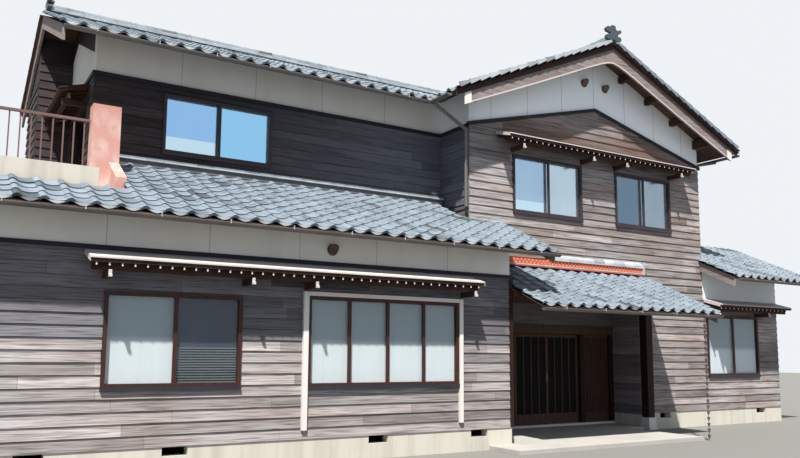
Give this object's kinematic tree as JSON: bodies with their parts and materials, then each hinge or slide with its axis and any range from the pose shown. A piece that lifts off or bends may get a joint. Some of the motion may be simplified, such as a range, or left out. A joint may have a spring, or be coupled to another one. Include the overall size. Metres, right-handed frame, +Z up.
{
  "type": "machiya townhouse",
  "caption": "Two-storey townhouse with boarded walls, white plaster bands, a curved-tile gable, lower side roofs and an entrance with sliding doors.",
  "frame": {"origin": "under the middle of the whole house, at the lowest ground point", "axes": "+X to the right along the street front, +Y back from the street, +Z up"},
  "size_m": [17.851, 8.98, 8.2538],
  "materials": {
    "boards": "weathered unpainted boards",
    "dark_boards": "aged dark boards",
    "plaster": "matt lime plaster",
    "concrete": "cast concrete",
    "dark_wood": "dark brown stain",
    "weathered_wood": "weathered timber",
    "roof_tile": "smoked grey clay tile",
    "metal": "dull grey",
    "white_paint": "matt white paint",
    "mortar": "salmon coloured mortar",
    "glass": "clear window glass",
    "black_trim": "matt black"
  },
  "bodies": {
    "house": {"footings": "concrete", "porch_slab": "concrete", "entrance_floor": "concrete", "ground_floor": "dark_wood", "upper_floor": "dark_wood", "lower_front_wall": "boards", "lower_end_walls": "boards", "upper_front_wall": "dark_boards", "upper_end_wall": "dark_boards", "gable_front_wall": "boards", "gable_side_walls": "boards", "rear_walls": "boards", "plaster_walls": "plaster", "gable_band": "black_trim", "recess_walls": "dark_boards", "wing_walls": "boards", "entrance_wall": "dark_boards", "entrance_posts": "dark_wood", "entrance_head": "dark_wood", "entrance_sill": "concrete", "entrance_side_panels": "dark_wood", "window_frames": "dark_wood", "window_glass": "glass", "window_casing": "white_paint", "canopies": "weathered_wood", "gable_bargeboards": "weathered_wood", "gable_purlins": "weathered_wood", "upper_bargeboards": "weathered_wood", "eave_rafters": "weathered_wood", "gable_roof": "roof_tile", "upper_roof": "roof_tile", "lean_to_roof": "roof_tile", "porch_roof": "roof_tile", "wing_roof": "roof_tile", "ridges": "roof_tile", "porch_ridge": "roof_tile", "ridge_ornaments": "roof_tile", "gutters": "metal", "rain_chain": "metal", "round_vents": "metal", "terrace_deck": "concrete", "terrace_pillar": "mortar", "terrace_rail": "metal"},
    "left_leaf": {"sliding_door_left": "dark_wood"},
    "right_leaf": {"sliding_door_right": "dark_wood"}
  },
  "joints": [
    {"name": "left_leaf_slide", "type": "slide", "parent": "house", "child": "left_leaf", "axis": [1, 0, 0], "range_m": [0, 0.84]},
    {"name": "right_leaf_slide", "type": "slide", "parent": "house", "child": "right_leaf", "axis": [-1, 0, 0], "range_m": [0, 0.84]}
  ]
}
